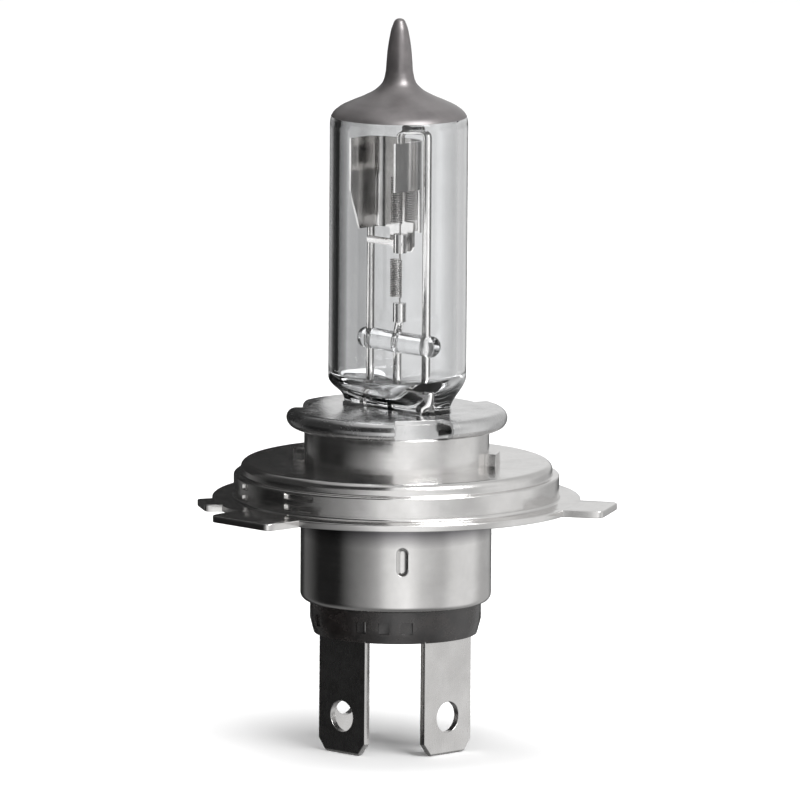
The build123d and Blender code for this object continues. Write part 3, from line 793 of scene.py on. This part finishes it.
# An upright wall all round that is seen only through the glass; its brightness goes by compass angle.
def glassWrap(look):
    compass = np.radians(np.linspace(-180, 180, look["columns"], endpoint=False))[None, :]
    height = np.array((look["low"], look["high"]))[:, None]
    points = compassPoints(look["radius"] * np.ones_like(height), compass, height)
    glowingGrid("glassWrap", points, levelAt(compass, look["levels"]), "transmission")


cardLooks = {
    "shadeBehindLeft": {"right": -54, "front": -60, "width": 90, "low": 0, "high": 60, "tone": 0.02},
    "shadeBeforeLeft": {"right": -39, "front": 45, "width": 72, "low": 9, "high": 70, "tone": 0.03},
}
# lists of compass angle and brightness
domeLook = {
    "radius": 1600.0, "rows": 120, "columns": 240, "lastLift": 89.9, "horizonBand": (-4, 4),
    "overhead": 0.65, "overheadBand": (50, 75), "underfoot": 0.2, "underfootBand": (30, 60),
    "below": [
        (-180, 0.03), (-150, 0.03), (-142, 0.14), (-128, 0.10), (-108, 0.015), (-72, 0.015),
        (-60, 0.12), (-50, 0.20), (-36, 0.30), (-22, 0.48), (-10, 0.90), (14, 1.15), (32, 0.72),
        (58, 0.60), (72, 0.84), (108, 0.84), (124, 0.52), (150, 0.50), (166, 0.12), (180, 0.03),
    ],
    "above": [
        (-180, 0.80), (-162, 0.34), (-140, 0.10), (-110, 0.04), (-60, 0.04), (-35, 0.30), (-8, 1.0),
        (30, 1.0), (60, 0.6), (90, 0.85), (130, 0.6), (158, 0.6), (170, 0.80), (180, 0.80),
    ],
}
wrapLook = {
    "radius": 115.0, "low": -28.0, "high": 100.0, "columns": 360,
    "levels": [
        (-180, 0.78), (-174, 0.52), (-166, 0.42), (-150, 0.02), (-106, 0.01), (-101, 1.7),
        (-79, 1.7), (-74, 0.01), (-40, 0.03), (-20, 0.8), (0, 0.95), (12, 1.0), (24, 2.0),
        (56, 2.0), (68, 0.14), (112, 0.14), (120, 0.7), (150, 0.6), (164, 0.76), (172, 0.88),
        (180, 0.78),
    ],
}
softboxLooks = {
    "key": {"place": (420, 520, 620), "width": 500, "height": 500, "power": 7.0, "reflected": True},
    "top": {"place": (-60, -120, 800), "width": 700, "height": 700, "power": 6.0, "reflected": False},
}


# A rectangular light at its place, turned so that its beam runs to a point on the axis.
def addSoftbox(name, look, aim):
    light = bpy.data.lights.new(name, "AREA")
    light.shape = "RECTANGLE"
    light.size = look["width"] * mm
    light.size_y = look["height"] * mm
    light.energy = look["power"]
    lamp = bpy.data.objects.new(name, light)
    bpy.context.scene.collection.objects.link(lamp)
    lamp.location = stagePlace(*look["place"])
    lamp.rotation_euler = (Vector(aim) * mm - lamp.location).to_track_quat("-Z", "Y").to_euler()
    lamp.visible_glossy = look["reflected"]


# Even white light from all round.
def makeWorld(level):
    world = bpy.data.worlds.new("studio")
    bpy.context.scene.world = world
    world.use_nodes = True
    background = next(node for node in world.node_tree.nodes if node.type == "BACKGROUND")
    background.inputs["Color"].default_value = (1, 1, 1, 1)
    background.inputs["Strength"].default_value = level


# The camera looks at a point near the axis with a long lens and a slight roll, from a distance of
# field times lens over sensor.
def makeCamera(size):
    data = bpy.data.cameras.new("camera")
    data.lens = size["lens"]
    data.sensor_width = size["sensor"]
    data.clip_end = size["farthest"]
    camera = bpy.data.objects.new("camera", data)
    bpy.context.scene.collection.objects.link(camera)
    lift = radians(size["elevation"])
    away = toCamera * cos(lift) + Vector((0, 0, sin(lift)))
    distance = size["field"] * mm * size["lens"] / size["sensor"]
    aim = stagePlace(size["aimRight"], 0, size["aimHeight"])
    roll = Matrix.Rotation(radians(size["roll"]), 4, "Z")
    turn = away.to_track_quat("Z", "Y").to_matrix().to_4x4()
    camera.matrix_world = Matrix.Translation(aim + away * distance) @ turn @ roll
    bpy.context.scene.camera = camera


makeFloor(stageSize, floorLook)
for name, card in cardLooks.items():
    glossyCard(name, card)
reflectionDome(domeLook)
glassWrap(wrapLook)
for name, look in softboxLooks.items():
    addSoftbox(name, look, stageSize["lampAim"])
makeWorld(stageSize["worldLevel"])
makeCamera(stageSize)
bpy.context.scene.view_settings.view_transform = "Standard"
print("stage made")
